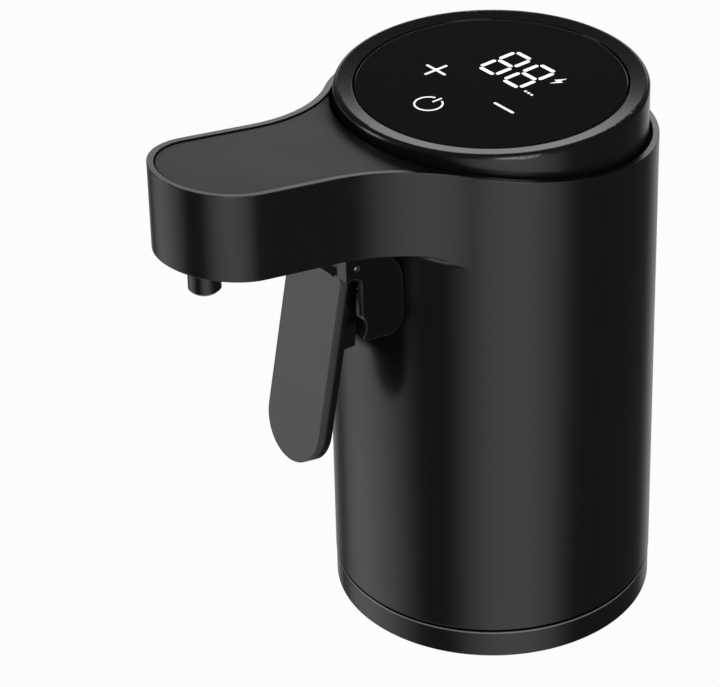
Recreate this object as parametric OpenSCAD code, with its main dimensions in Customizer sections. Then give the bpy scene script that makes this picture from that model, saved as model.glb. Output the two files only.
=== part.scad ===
// Electric wine pourer that plugs onto the mouth of a bottle.
// Origin on the body axis at the underside, +Z up, spout arm towards -Y.

/* [Bottle socket] */
// Bore that grips the rim of the bottle
bottle_d = 29; // [28:0.1:30]
// Depth of the grip liner
socket_depth = 11.7; // [10:0.1:14]
// Thickness of the silicone grip liner
liner_t = 0.75; // [0.5:0.05:1]
// Wall of the cup behind the liner
cup_wall = 1; // [0.8:0.05:1.4]
// Thickness of the gasket that seals on the bottle's lip
gasket_t = 1.2; // [0.8:0.1:1.6]
// Hole in the lip gasket
gasket_bore_d = 19.2; // [18:0.1:21]
// Thickness of the cup's ceiling
ceiling_t = 2; // [1.8:0.1:3]
// Height of the base flange under the seam
base_h = 3.4; // [2.6:0.1:5]
// How far the base flange stands in from the body wall
base_inset = 0.05; // [0:0.05:0.3]

/* [Body] */
// Wall of the housing
body_wall = 1.6; // [1.4:0.1:2]
// Height of the slanted deck on the body axis
deck_z = 59.25; // [58.75:0.25:66]
// Slope of the deck and the arm, rising towards the tip
deck_slope = 9; // [7:0.5:10]
// Visible rim of the housing around the head and the arm cover
rim_w = 0.7; // [0.5:0.05:0.9]

/* [Arm] */
// Width of the arm
arm_w = 15; // [14:0.5:17]
// Distance from the body axis to the arm's tip
arm_reach = 42.2; // [39:0.1:48]
// Height of the arm's side wall
arm_h = 9.9; // [9.5:0.1:11]
// Thickness of the arm's floor
arm_floor = 1.6; // [1.2:0.1:1.8]
// Radius of the flare between arm and body
flare_r = 19; // [14:0.5:22]
// Radius of the fillet between the arm's underside and the body
fillet_r = 1.6; // [1:0.1:2]
// Thickness of the arm cover
cover_t = 1.4; // [1:0.1:1.8]
// How far the cover lies below the rim
cover_sink = 0.12; // [0:0.02:0.3]

/* [Display head] */
// Height of the head above the deck on the body axis
head_rise = 3.9; // [3.5:0.05:5]
// Gap between the rim and the head's wall
head_gap = 0.4; // [0.2:0.05:0.6]
// Width of the ring around the glass
bezel_w = 2.1; // [1.6:0.1:2.6]
// Fall of the ring towards the glass
bezel_dish = 0.25; // [0.05:0.05:0.3]
// Radius of the ring's outer edge
bezel_edge = 0.5; // [0.2:0.05:0.7]
// Thickness of the head's skirt
skirt_t = 1.85; // [1.4:0.05:2]
// Depth of the head's seat below the lowest point of the rim
seat_depth = 1.9; // [1.2:0.1:2.4]
// Thickness of the glass
glass_t = 1.1; // [0.8:0.1:1.4]
// Width of the ledge under the glass
ledge_w = 1.2; // [0.8:0.1:1.6]
// Thickness of the ledge under the glass
ledge_t = 0.9; // [0.6:0.1:1.2]
// Thickness of the foam ring between ledge and display board
spacer_t = 1; // [0.8:0.1:1.4]
// Thickness of the display board
display_board_t = 1; // [0.8:0.1:1.2]

/* [Trigger] */
// Distance of the pivot in front of the body
pivot_out = 4.9; // [4.5:0.1:6]
// Distance of the pivot below the arm's underside
pivot_drop = 1.7; // [1.6:0.1:3]
// Diameter of the pivot pin
pin_d = 1.4; // [1.2:0.1:1.6]
// Diameter of the pin's tips that show in the cheeks
pin_tip_d = 0.6; // [0.5:0.05:0.8]
// Width of the trigger
trigger_w = 9.3; // [8:0.1:9.6]
// Length of the trigger from its pivot to the lower end
trigger_len = 25.5; // [20:0.1:30]
// Angle of the trigger from upright at rest
trigger_tilt = 10.8; // [8:0.2:13]
// Angle that the trigger is pulled through
pull_angle = 12; // [8:0.5:13]
// Thickness of the front plate
face_t = 0.85; // [0.6:0.05:1]
// Thickness of the lever behind the front plate
lever_t = 0.85; // [0.6:0.05:1]
// Distance of the front plate's surface ahead of the pivot
face_front = 0.2; // [0:0.05:0.4]
// Distance of the trigger's shoulders below the pivot
shoulder_drop = 2.8; // [2.4:0.1:4]
// Outer diameter of the trigger's hub
hub_d = 2.6; // [2.4:0.1:3]
// Width of the trigger's hub
hub_w = 5.2; // [4:0.1:6]

/* [Trigger bracket] */
// Width of the bracket over its cheeks
bracket_w = 13.2; // [13:0.1:14]
// Height of the bracket's body
bracket_h = 9.4; // [9.2:0.1:11]
// Thickness of the cheeks below the lugs
cheek_skin = 0.6; // [0.5:0.05:1]
// Radius of the cheeks' upper rear corners
cheek_round = 5; // [4:0.1:5.2]
// Radius of the cheeks' lower rear corners
heel_round = 1.8; // [1.4:0.1:2.2]
// Width of the bracket's neck through the body's wall
neck_w = 8.9; // [8.4:0.1:9.4]
// Height of the bracket's neck through the body's wall
neck_h = 7.6; // [7.2:0.1:8]
// Corner radius of the bracket's neck
neck_corner = 1.6; // [1:0.1:2]
// Thickness of each cheek
cheek_t = 1.55; // [1.2:0.05:1.6]
// Distance that the cheeks stand out from the body
cheek_reach = 6.3; // [6:0.1:7.4]
// Depth of the notch in the front of each cheek
notch_depth = 2; // [1:0.1:2.2]
// Distance of the notch's top below the pivot
lug_drop = 1.2; // [1.1:0.1:1.6]
// Radius of the notch's upper corner
notch_r = 0.9; // [0.5:0.1:1]
// Radius of the scoop at the foot of the notch
scoop_r = 2.2; // [1.8:0.1:2.4]
// Distance of the web's front from the body
web_out = 1.4; // [1:0.1:1.8]
// Thickness of the web that guides the plunger
web_t = 2.2; // [1.8:0.1:2.6]
// Distance of the plunger below the pivot
push_drop = 5; // [4.6:0.1:5.4]
// Diameter of the plunger
plunger_d = 2.4; // [2:0.1:2.6]
// Distance of the trigger's pusher behind the pivot
push_back = 1.3; // [1.1:0.1:1.6]
// Width of the trigger's pusher
pusher_w = 9; // [8:0.1:9.2]
// Height of the trigger's pusher
pusher_h = 8; // [6:0.1:8.4]
// Mean diameter of the return spring
spring_d = 3.7; // [3.4:0.1:3.8]
// Wire diameter of the return spring
spring_wire = 0.4; // [0.3:0.05:0.45]
// Turns of the return spring
spring_turns = 3; // [2:0.5:3]

/* [Nozzle] */
// Outer diameter of the nozzle
nozzle_d = 3.5; // [3:0.1:4]
// Bore of the nozzle
nozzle_bore_d = 2.2; // [1.6:0.1:2.4]
// Length of the nozzle below the arm
nozzle_drop = 4.1; // [3:0.1:7]
// Distance of the nozzle's axis behind the arm's tip
nozzle_back = 4.8; // [4.4:0.1:6]

/* [Wine line] */
// Distance of the wine port in front of the body axis
port_out = 6; // [5.5:0.1:6.4]
// Outer diameter of the wine hose
hose_d = 4.2; // [3.8:0.1:4.4]
// Bore of the wine hose
hose_bore_d = 3; // [2.6:0.1:3.2]
// Bend radius of the wine hose
hose_bend_r = 10; // [9:0.5:10.5]
// Distance of the wine hose above the arm's floor
hose_lift = 0.9; // [0.8:0.05:1]
// Bore that takes the dip tube
dip_d = 3.8; // [3:0.1:4]
// Depth of the dip tube's socket
dip_depth = 5; // [4.2:0.1:7]

/* [Air pump] */
// Diameter of the pump and its motor
pump_d = 15; // [14:0.1:15.2]
// Height of the motor
motor_h = 13; // [11:0.1:15]
// Height of the crankcase
crank_h = 7; // [6.6:0.1:8]
// Thickness of the diaphragm
diaphragm_t = 1; // [0.6:0.1:1.2]
// Height of the valve cover
valve_cover_h = 4; // [3:0.1:4.4]
// Diameter of the motor's shaft
shaft_d = 2; // [1.5:0.1:2.3]
// Outer diameter of the air hose
air_hose_d = 3.2; // [2.8:0.1:3.4]
// Bore of the air hose
air_bore_d = 2.2; // [1.8:0.1:2.4]
// Diameter of the check valve
valve_d = 4; // [3.4:0.1:4.2]
// Height of the check valve's body
valve_h = 7.6; // [5:0.1:10]

/* [Battery and boards] */
// Diameter of the battery cell
cell_d = 13; // [11:0.1:13.2]
// Height of the battery cell
cell_h = 35; // [28:0.5:38]
// Distance of pump and cell behind the body axis
core_back = 2.5; // [2:0.1:2.8]
// Thickness of the cradle's plate
cradle_t = 1.4; // [1:0.1:2]
// Height of the cradle's collars
collar_h = 5; // [3:0.1:8]
// Thickness of the cradle's collars
collar_t = 0.8; // [0.6:0.05:0.9]
// Width of the control board
board_w = 19.2; // [17:0.1:19.4]
// Height of the control board
board_h = 26.5; // [22:0.5:30]
// Thickness of the control board
board_t = 1.2; // [0.8:0.1:1.4]
// Distance of the control board's front face behind the body axis
board_back = 11.4; // [11.2:0.1:11.5]
// Height of the charging port above the base
port_z = 30; // [28:0.5:34]
// Width of the charging port
port_w = 8.94; // [8:0.02:9.2]
// Height of the charging port
port_h = 3.16; // [2.6:0.02:3.6]

/* [Fits] */
// Clearance of parts that slip into each other
slip_gap = 0.1; // [0.06:0.02:0.16]
// Clearance of running and push fits
close_gap = 0.04; // [0.02:0.01:0.06]
// Visible gap around cover, head, glass and base
seam_gap = 0.15; // [0.1:0.01:0.2]
// Room left around moving and neighbouring pieces
free_gap = 0.4; // [0.3:0.05:0.6]

/* [Hidden] */
$fn = 96;
cut = 1;
far = 120;
slope_k = tan(deck_slope);

// Socket and body: the chamber takes the cup and, above it, pump and cell side by side
bottle_r = bottle_d / 2;
liner_r = bottle_r + liner_t;
cup_bore_r = liner_r + close_gap;
core_edge = collar_t + free_gap;
core_gap = 2.3;
core_r = (pump_d + cell_d + core_gap) / 2 + core_edge;
chamber_r = max(cup_bore_r + cup_wall + slip_gap, core_r);
cup_r = chamber_r - slip_gap;
body_r = chamber_r + body_wall;
base_r = body_r - base_inset;
base_chamfer = 0.2;
base_edge = 0.05;
shell_edge = 0.2;
gasket_z = socket_depth + slip_gap;
ceiling_z = gasket_z + gasket_t;
floor_z = ceiling_z + ceiling_t;
shell_z = base_h + seam_gap;
under_z = deck_z - arm_h;

// Screws of the base and their bosses in the housing
screw_count = 3;
screw_d = 1.8;
screw_head_d = 3.4;
screw_head_h = 1.2;
screw_grip = 5;
boss_r = 2.2;
boss_inset = 0.6;
boss_roof = 1;
screw_tip_room = 1;
boss_h = screw_grip + screw_tip_room + boss_roof;
boss_at = chamber_r - boss_r - boss_inset;
boss_web = 2.4;

// Arm
arm_half = arm_w / 2;
tip_out = arm_reach - arm_half;
flare_x = arm_half + flare_r;
flare_span = body_r + flare_r;
flare_out = sqrt(flare_span * flare_span - flare_x * flare_x);
cover_flare_r = flare_r + rim_w + seam_gap;
cover_bore_r = body_r - rim_w;
cover_along = (cover_bore_r * cover_bore_r - cover_flare_r * cover_flare_r + flare_span * flare_span)
    / (2 * flare_span);
cover_aside = sqrt(cover_bore_r * cover_bore_r - cover_along * cover_along);
cover_tip_x = (cover_along * flare_x - cover_aside * flare_out) / flare_span;
cover_tip_cut = 0.6;
fillet_root = 0.07;

// Display head
head_r = body_r - rim_w - head_gap;
foot_r = cover_bore_r - seam_gap;
foot_h = 1.3;
head_z = deck_z + head_rise;
seat_z = deck_z - slope_k * body_r - seat_depth;
skirt_r = head_r - skirt_t;
pocket_r = head_r - bezel_w;
glass_r = pocket_r - seam_gap;
glass_top = head_z - bezel_dish;
glass_z = glass_top - glass_t;
glass_chamfer = 0.15;
ledge_z = glass_z - ledge_t;
window_r = glass_r - ledge_w;
display_board_z = ledge_z - spacer_t - display_board_t;
display_board_top = ledge_z - spacer_t;
display_board_r = skirt_r - slip_gap;
lamp_top = glass_z - slip_gap;
digit_size = [10, 8.5];
digit_at = [-0.65, 3.8];
pad_r = 2.2;
pads_at = [[-5.6, -3.2], [5.5, -2.4], [0.1, -8.3]];

// Wine line
port_flange_r = 3;
dip_roof = 0.8;
port_flange_h = dip_depth + dip_roof - ceiling_t - cradle_t;
port_spigot_r = 2.6;
barb_l = 4.4;
barb_r = hose_bore_d / 2 - close_gap;
barb_bore_r = 1;
hose_r = hose_d / 2;
deck_floor_z = floor_z + cradle_t;
hose_foot_z = deck_floor_z + port_flange_h + slip_gap;
hose_line_z = under_z + arm_floor + (hose_lift + hose_r) / cos(deck_slope);
bend_end_out = port_out + hose_bend_r * (1 - sin(deck_slope));
bend_end_z = hose_line_z + slope_k * bend_end_out;
bend_z = bend_end_z - hose_bend_r * cos(deck_slope);
nozzle_out = arm_reach - nozzle_back;
nozzle_r = nozzle_d / 2;
nozzle_hole_r = nozzle_r + slip_gap;
nozzle_z = under_z + slope_k * nozzle_out - nozzle_drop;
nozzle_lip = 0.35;
seat_ring_w = 0.85;
seat_ring_r = nozzle_r + seat_ring_w;
seat_ring_z = under_z + arm_floor + slope_k * (nozzle_out + seat_ring_r) + slip_gap;
nozzle_gasket_t = 0.5;
nozzle_flange_t = 0.9;
elbow_z = hose_line_z + slope_k * nozzle_out;
elbow_wall = 0.5;
elbow_neck = 1.3;
elbow_r = nozzle_r + elbow_wall;
hose_stop = elbow_r + elbow_neck;
hose_end = (nozzle_out - bend_end_out) / cos(deck_slope) - hose_stop;

// Trigger and its bracket
pivot_y = -(body_r + pivot_out);
pivot_z = under_z - slope_k * pivot_y - pivot_drop;
pin_r = pin_d / 2;
pin_skin = 0.7;
hub_r = hub_d / 2;
half_trigger = trigger_w / 2;
face_back = face_front - face_t;
lever_back = face_back - lever_t;
hub_room = 0.7;
face_top = -(hub_r + hub_room);
face_notch = 0.3;
face_notch_w = 6.8;
bracket_gap = 1;
bracket_top = under_z + slope_k * body_r - bracket_gap;
bracket_z = bracket_top - bracket_h;
neck_mid = (bracket_top + bracket_z) / 2;
slot_w = bracket_w - 2 * cheek_t;
web_front = body_r + web_out;
web_rear = web_front - web_t;
cheek_front = body_r + cheek_reach;
cheek_stand = 0.15;
cheek_rear = sqrt(pow(body_r + slip_gap, 2) - pow(bracket_w / 2, 2)) + cheek_stand;
cheek_gap = 0.2;
cheek_turn = cheek_rear + cheek_round;
cheek_turn_z = under_z + slope_k * cheek_turn - cheek_gap - cheek_round / cos(deck_slope);
heel_turn = cheek_rear + heel_round;
heel_turn_z = bracket_z + slope_k * (heel_turn - web_front) + heel_round / cos(deck_slope);
notch_out = cheek_front - notch_depth;
notch_top = pivot_z - lug_drop;
scoop_dip = 0.5;
scoop_up = 2;
neck_wall = 0.9;
flange_grow = 1.2;
flange_depth = 2.9;
flange_out = chamber_r - flange_depth;
push_z = pivot_z - push_drop;
pusher_top = push_z + spring_d / 2 + spring_wire;
pusher_seat = 2 * push_z - pusher_top;
pusher_slant = 0.3;
pusher_out = -pivot_y - push_back;
plunger_r = plunger_d / 2;
plunger_dome_r = 2;
plunger_tip = pusher_out - slip_gap;
plunger_lead = 1.15;
plunger_travel = plunger_lead
    * (push_drop * tan(pull_angle) + push_back * (1 / cos(pull_angle) - 1));
plunger_seat = 2.6;
plunger_tail = web_rear - plunger_seat;
spring_pocket = 1;
spring_pocket_r = spring_d / 2 + spring_wire / 2 + slip_gap * 2;
spring_start = web_front - spring_pocket + close_gap;
spring_end = pusher_out - close_gap;

// Micro switch
switch_back = 7.4;
switch_w = neck_w - 2 * neck_wall - 2 * slip_gap;
switch_h = neck_h - 2 * neck_wall - 2 * slip_gap;
switch_front = web_rear - slip_gap;
prong_size = [0.8, 0.5, 2.6];
prong_pitch = 2.4;
prong_back = 4.7;

// Pump, cell, cradle and valve
pump_r = pump_d / 2;
cell_r = cell_d / 2;
cell_cap_r = 2.2;
cell_cap_h = 1;
pump_x = sqrt(pow(chamber_r - core_edge - pump_r, 2) - core_back * core_back);
cell_x = sqrt(pow(chamber_r - core_edge - cell_r, 2) - core_back * core_back);
crank_z = deck_floor_z + motor_h;
diaphragm_z = crank_z + crank_h;
valve_cover_z = diaphragm_z + diaphragm_t;
pump_top = valve_cover_z + valve_cover_h;
shaft_r = shaft_d / 2;
shaft_seat = 4;
crank_floor = 1.2;
crank_wall = 1.2;
hub_disc_r = 3.4;
hub_disc_h = 2.4;
crank_pin_r = 0.8;
crank_pin_at = 1.8;
crank_pin_l = 1;
drive_boss_r = 2.9;
valve_x = (pump_x - pump_r - cell_x + cell_r) / 2;
valve_back = 5.2;
valve_y = core_back + valve_back;
valve_r = valve_d / 2;
valve_spigot_r = 1.2;
air_r = air_hose_d / 2;
air_barb_r = air_bore_d / 2 - close_gap;
air_barb_bore_r = 0.6;
air_barb_l = 2.8;
outlet_at = [1.7, -2.5];
intake_at = [-1.9, 2.7];
intake_l = 1;
outlet = [pump_x, core_back] + outlet_at;
intake = [pump_x, core_back] + intake_at;
arch_rise = 3;
arch_z = pump_top + arch_rise;
arch_span = norm(outlet - [valve_x, valve_y]);
arch_turn = atan2(outlet.y - valve_y, outlet.x - valve_x);
seal_t = 0.8;
seal_w = 0.85;
hose_sides = 16;
hose_arc_steps = 12;

// Control board and charging port
board_rear = board_back + board_t;
board_lift = 1.5;
board_z = floor_z + boss_h + board_lift;
rail_w = 3;
rail_inset = 0.4;
rail_x = board_w / 2 - rail_w / 2 - rail_inset;
board_screw_d = 1.4;
board_screw_grip = 2;
board_screw_room = 0.3;
board_screw_head_d = 2.4;
board_screw_head_h = 0.8;
board_screw_inset = 2.4;
port_wall = 0.3;
port_sink = 0.7;
port_mouth = body_r - port_sink;
tongue_t = 0.7;
tongue_w = 6.6;
tongue_back = 0.8;
ribbon_w = 6;
ribbon_t = 0.3;
ribbon_lap = 4;
// Chips on the board: place across and up, then width, height and thickness
chips = [[-4.5, 8, 5, 5, 0.9], [3.6, 14, 4, 6, 0.8], [-5, 17.5, 3, 3, 0.7]];

// Extrudes a front view (x, z) from one distance in front of the axis to another
module outwards(from, to) {
    translate([0, -from, 0])
        rotate([90, 0, 0])
            linear_extrude(to - from)
                children();
}

// Extrudes a side view (distance in front of the axis, z) to both sides of the middle
module sideways(width) {
    rotate([90, 0, -90])
        linear_extrude(width, center = true)
            children();
}

// Everything below the slanted plane that crosses the body axis at a height
module below_slope(height) {
    sideways(far)
        polygon([
            [-far, -far], [far, -far],
            [far, height + slope_k * far], [-far, height - slope_k * far]
        ]);
}

module tube_ring(r, bore_r, h) {
    difference() {
        cylinder(r = r, h = h);
        translate([0, 0, -cut])
            cylinder(r = bore_r, h = h + 2 * cut);
    }
}

module round_rect(w, h, r) {
    for (side = [-1, 1])
        for (end = [-1, 1])
            translate([side * (w / 2 - r), end * (h / 2 - r)])
                circle(r);
    square([w - 2 * r, h], center = true);
    square([w, h - 2 * r], center = true);
}

module obround(w, h) {
    for (side = [-1, 1])
        translate([side * (w - h) / 2, 0])
            circle(h / 2);
    square([w - h, h], center = true);
}

module around_screws() {
    for (i = [0 : screw_count - 1])
        rotate(90 + i * 360 / screw_count)
            children();
}

// Upright column over the arm's plan with its flares, set in from the outer wall
module arm_column(inset) {
    half = arm_half - inset;
    translate([0, -tip_out, 0])
        cylinder(r = half, h = far);
    translate([-half, -tip_out, 0])
        cube([2 * half, tip_out, far]);
    for (side = [-1, 1])
        difference() {
            linear_extrude(far)
                polygon([[0, 0], [side * flare_x, -flare_out], [0, -flare_out]]);
            translate([side * flare_x, -flare_out, -cut])
                cylinder(r = flare_r + inset, h = far + 2 * cut);
        }
}

// Slice of the arm between two slanted planes
module arm_slice(inset, low, high) {
    difference() {
        intersection() {
            arm_column(inset);
            below_slope(high);
        }
        below_slope(low);
    }
}

module at_nozzle() {
    translate([0, -nozzle_out, 0])
        children();
}

module main_housing() {
    color("#26272a")
    difference() {
        union() {
            difference() {
                union() {
                    intersection() {
                        translate([0, 0, shell_z]) {
                            cylinder(r1 = body_r - shell_edge, r2 = body_r, h = shell_edge);
                            translate([0, 0, shell_edge])
                                cylinder(r = body_r, h = far);
                        }
                        below_slope(deck_z);
                    }
                    arm_slice(0, under_z, deck_z);
                    arm_fillet();
                }
                translate([0, 0, -cut])
                    cylinder(r = chamber_r, h = far);
                translate([0, 0, seat_z])
                    cylinder(r = cover_bore_r, h = far);
                arm_slice(body_wall, under_z + arm_floor, deck_z + arm_h);
                arm_slice(rim_w, deck_z - cover_t, deck_z + arm_h);
            }
            nozzle_seat();
            screw_bosses();
            board_rails();
        }
        at_nozzle()
            translate([0, 0, nozzle_z])
                cylinder(r = nozzle_hole_r, h = arm_h + nozzle_drop);
        around_screws()
            translate([boss_at, 0, floor_z - cut])
                cylinder(d = screw_d + 2 * close_gap, h = boss_h - boss_roof + cut);
        outwards(chamber_r / 2, body_r + web_out)
            neck_outline(slip_gap, slip_gap);
        outwards(-far, -board_rear)
            translate([0, port_z])
                obround(port_w + 2 * seam_gap, port_h + 2 * seam_gap);
        board_screw_holes(board_screw_d + 2 * close_gap, board_screw_grip + board_screw_room);
    }
}

// Fillet that runs from the arm's underside into the body, rooted a little in its wall
module arm_fillet() {
    intersection() {
        arm_column(0);
        translate([0, 0, under_z])
            rotate([-deck_slope, 0, 0])
                rotate_extrude()
                    difference() {
                        translate([chamber_r, -fillet_r])
                            square([body_wall + fillet_r, fillet_r + arm_floor / 2]);
                        translate([body_r - fillet_root + fillet_r, -fillet_r])
                            circle(fillet_r);
                    }
    }
}

// Level ring on the arm's floor that carries the nozzle
module nozzle_seat() {
    difference() {
        at_nozzle()
            cylinder(r = seat_ring_r, h = seat_ring_z);
        below_slope(under_z + arm_floor / 2);
    }
}

// Posts in the housing that the base screws bite into
module screw_bosses() {
    around_screws()
        translate([boss_at, 0, floor_z]) {
            cylinder(r = boss_r, h = boss_h);
            translate([0, -boss_web / 2, 0])
                cube([chamber_r + body_wall / 2 - boss_at, boss_web, boss_h]);
        }
}

// Ribs on the rear wall that carry the control board
module board_rails() {
    intersection() {
        for (side = [-1, 1])
            translate([side * rail_x - rail_w / 2, board_rear, board_z])
                cube([rail_w, body_r, board_h]);
        cylinder(r = chamber_r + body_wall / 2, h = far);
    }
}

module board_screw_holes(d, depth) {
    for (side = [-1, 1])
        for (z = [board_z + board_screw_inset, board_z + board_h - board_screw_inset])
            translate([side * rail_x, board_back, z])
                rotate([-90, 0, 0])
                    cylinder(d = d, h = board_t + depth);
}

module arm_cover() {
    color("#3a3b3e")
    difference() {
        intersection() {
            arm_slice(rim_w + seam_gap, deck_z - cover_t, deck_z - cover_sink);
            translate([0, -arm_reach / 2, deck_z])
                cube([2 * (cover_tip_x - cover_tip_cut), arm_reach, far], center = true);
        }
        cylinder(r = cover_bore_r, h = far);
    }
}

module display_bezel() {
    color("#1e1f21")
    difference() {
        rotate_extrude() {
            polygon([
                [skirt_r, seat_z], [foot_r, seat_z],
                [foot_r, seat_z + foot_h], [head_r, seat_z + foot_h],
                [head_r, head_z - bezel_edge], [head_r - bezel_edge, head_z - bezel_edge],
                [head_r - bezel_edge, head_z],
                [pocket_r, glass_top], [pocket_r, glass_z],
                [window_r, glass_z], [window_r, ledge_z], [skirt_r, ledge_z]
            ]);
            translate([head_r - bezel_edge, head_z - bezel_edge])
                circle(bezel_edge);
        }
        hose_gate();
    }
}

// Gate in the head's skirt where the wine hose enters the arm
module hose_gate() {
    gate_r = hose_r + free_gap;
    gate_z = hose_line_z + slope_k * (head_r + skirt_r) / 2;
    outwards(skirt_r / 2, body_r) {
        translate([0, gate_z])
            circle(gate_r);
        translate([-gate_r, seat_z - cut])
            square([2 * gate_r, gate_z - seat_z + cut]);
    }
}

module display_glass() {
    color("#0b0b0d")
    rotate_extrude()
        polygon([
            [0, glass_z], [glass_r, glass_z], [glass_r, glass_top - glass_chamfer],
            [glass_r - glass_chamfer, glass_top], [0, glass_top]
        ]);
}

module display_spacer() {
    color("#48484a")
    translate([0, 0, display_board_top])
        tube_ring(display_board_r, window_r, spacer_t);
}

module display_board() {
    color("#1f5134")
    translate([0, 0, display_board_z])
        cylinder(r = display_board_r, h = display_board_t);
}

module digit_module() {
    color("#e6e6e2")
    translate([digit_at.x - digit_size.x / 2, digit_at.y - digit_size.y / 2, display_board_top])
        cube([digit_size.x, digit_size.y, lamp_top - display_board_top]);
}

module touch_pads() {
    color("#6d6e70")
    for (pad = pads_at)
        translate([pad.x, pad.y, display_board_top])
            cylinder(r = pad_r, h = lamp_top - display_board_top);
}

module display_ribbon() {
    low = board_z + board_h - ribbon_lap;
    color("#b86b2b")
    translate([-ribbon_w / 2, board_back - ribbon_t, low])
        cube([ribbon_w, ribbon_t, display_board_z - low]);
}

module control_board() {
    color("#1f5134")
    difference() {
        translate([-board_w / 2, board_back, board_z])
            cube([board_w, board_t, board_h]);
        translate([0, -cut, 0])
            board_screw_holes(board_screw_d + 2 * close_gap, 2 * cut);
    }
}

module board_chips() {
    color("#202124")
    for (chip = chips)
        translate([chip[0] - chip[2] / 2, board_back - chip[4], board_z + chip[1] - chip[3] / 2])
            cube([chip[2], chip[4], chip[3]]);
}

module board_screws() {
    color("#a9abae") {
        board_screw_holes(board_screw_d, board_screw_grip);
        translate([0, -board_screw_head_h, 0])
            board_screw_holes(board_screw_head_d, board_screw_head_h - board_t);
    }
}

module charge_port() {
    color("#9b9da1")
    translate([0, 0, port_z]) {
        difference() {
            outwards(-port_mouth, -board_rear)
                obround(port_w, port_h);
            outwards(-far, -board_rear - tongue_back)
                obround(port_w - 2 * port_wall, port_h - 2 * port_wall);
        }
        outwards(-port_mouth + tongue_back, -board_rear - tongue_back / 2)
            square([tongue_w, tongue_t], center = true);
    }
}

module battery_cell() {
    color("#2f6fae")
    translate([-cell_x, core_back, deck_floor_z]) {
        cylinder(r = cell_r, h = cell_h - cell_cap_h);
        cylinder(r = cell_cap_r, h = cell_h);
    }
}

module core_collars(grow) {
    translate([pump_x, core_back])
        circle(pump_r + grow);
    translate([-cell_x, core_back])
        circle(cell_r + grow);
}

module cell_cradle() {
    color("#55575b")
    difference() {
        translate([0, 0, floor_z]) {
            cylinder(r = chamber_r - slip_gap, h = cradle_t);
            linear_extrude(cradle_t + collar_h)
                core_collars(collar_t + slip_gap);
        }
        translate([0, 0, deck_floor_z])
            linear_extrude(far)
                core_collars(slip_gap);
        around_screws()
            translate([boss_at, 0, floor_z - cut]) {
                cylinder(r = boss_r + slip_gap, h = far);
                translate([0, -boss_web / 2 - slip_gap, 0])
                    cube([chamber_r, boss_web + 2 * slip_gap, far]);
            }
        translate([0, -port_out, floor_z - cut])
            cylinder(r = port_spigot_r + slip_gap, h = far);
        translate([0, -port_out, deck_floor_z])
            cylinder(r = port_flange_r + slip_gap, h = far);
        translate([valve_x, valve_y, floor_z - cut])
            cylinder(r = valve_spigot_r + slip_gap, h = far);
        translate([valve_x, valve_y, deck_floor_z])
            cylinder(r = valve_r + slip_gap, h = far);
    }
}

module at_pump() {
    translate([pump_x, core_back, 0])
        children();
}

module pump_motor() {
    color("#b4b6ba")
    at_pump()
        difference() {
            translate([0, 0, deck_floor_z])
                cylinder(r = pump_r, h = motor_h);
            translate([0, 0, crank_z - shaft_seat])
                cylinder(r = shaft_r + close_gap, h = far);
        }
}

// Shaft with the eccentric disc and pin that rock the diaphragm
module motor_shaft() {
    disc_z = crank_z + crank_floor + free_gap;
    color("#d0d2d6")
    at_pump() {
        translate([0, 0, crank_z - shaft_seat + slip_gap])
            cylinder(r = shaft_r, h = disc_z + hub_disc_h / 2 - crank_z + shaft_seat - slip_gap);
        translate([0, 0, disc_z])
            cylinder(r = hub_disc_r, h = hub_disc_h);
        translate([crank_pin_at, 0, disc_z])
            cylinder(r = crank_pin_r, h = hub_disc_h + crank_pin_l);
    }
}

module pump_crankcase() {
    color("#3f4144")
    at_pump()
        translate([0, 0, crank_z])
            difference() {
                cylinder(r = pump_r, h = crank_h);
                translate([0, 0, crank_floor])
                    cylinder(r = pump_r - crank_wall, h = far);
                translate([0, 0, -cut])
                    cylinder(r = shaft_r + close_gap, h = far);
            }
}

module pump_diaphragm() {
    boss_z = crank_z + crank_floor + 2 * free_gap + hub_disc_h + crank_pin_l;
    color("#8d8f93")
    at_pump() {
        translate([0, 0, diaphragm_z])
            cylinder(r = pump_r, h = diaphragm_t);
        translate([0, 0, boss_z])
            cylinder(r = drive_boss_r, h = diaphragm_z - boss_z);
    }
}

module valve_cover() {
    color("#3f4144")
    difference() {
        union() {
            at_pump()
                translate([0, 0, valve_cover_z])
                    cylinder(r = pump_r, h = valve_cover_h);
            translate([outlet.x, outlet.y, valve_cover_z])
                cylinder(r = air_barb_r, h = valve_cover_h + air_barb_l);
            translate([intake.x, intake.y, valve_cover_z])
                cylinder(r = valve_spigot_r, h = valve_cover_h + intake_l);
        }
        for (hole = [outlet, intake])
            translate([hole.x, hole.y, valve_cover_z - cut])
                cylinder(r = air_barb_bore_r, h = far);
    }
}

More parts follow.
